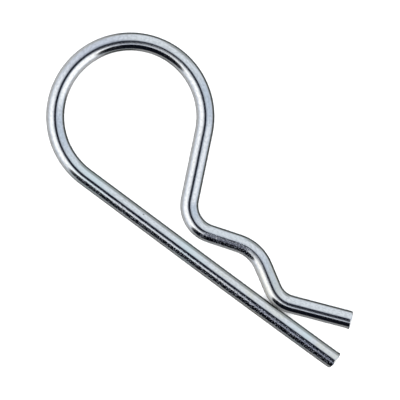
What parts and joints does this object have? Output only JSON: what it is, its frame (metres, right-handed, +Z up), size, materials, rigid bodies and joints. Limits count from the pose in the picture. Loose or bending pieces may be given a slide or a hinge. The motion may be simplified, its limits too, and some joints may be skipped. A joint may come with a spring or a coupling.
{
  "type": "hairpin cotter pin",
  "caption": "Hairpin cotter pin bent from one round wire: a straight leg, a round finger loop and a waved spring leg that snaps over a shaft.",
  "frame": {"origin": "where the axis of the shaft in the seat crosses the axis of the straight leg, at half the wire's thickness", "axes": "+X along the straight leg to its tip, +Y from the straight leg towards the spring leg, +Z up from the clip lying flat, along the shaft"},
  "size_m": [0.0985, 0.0419, 0.0046],
  "materials": {
    "zinc_plate": "bright zinc plate on drawn spring-steel wire"
  },
  "bodies": {
    "root": {"clip": "zinc_plate"}
  },
  "joints": []
}
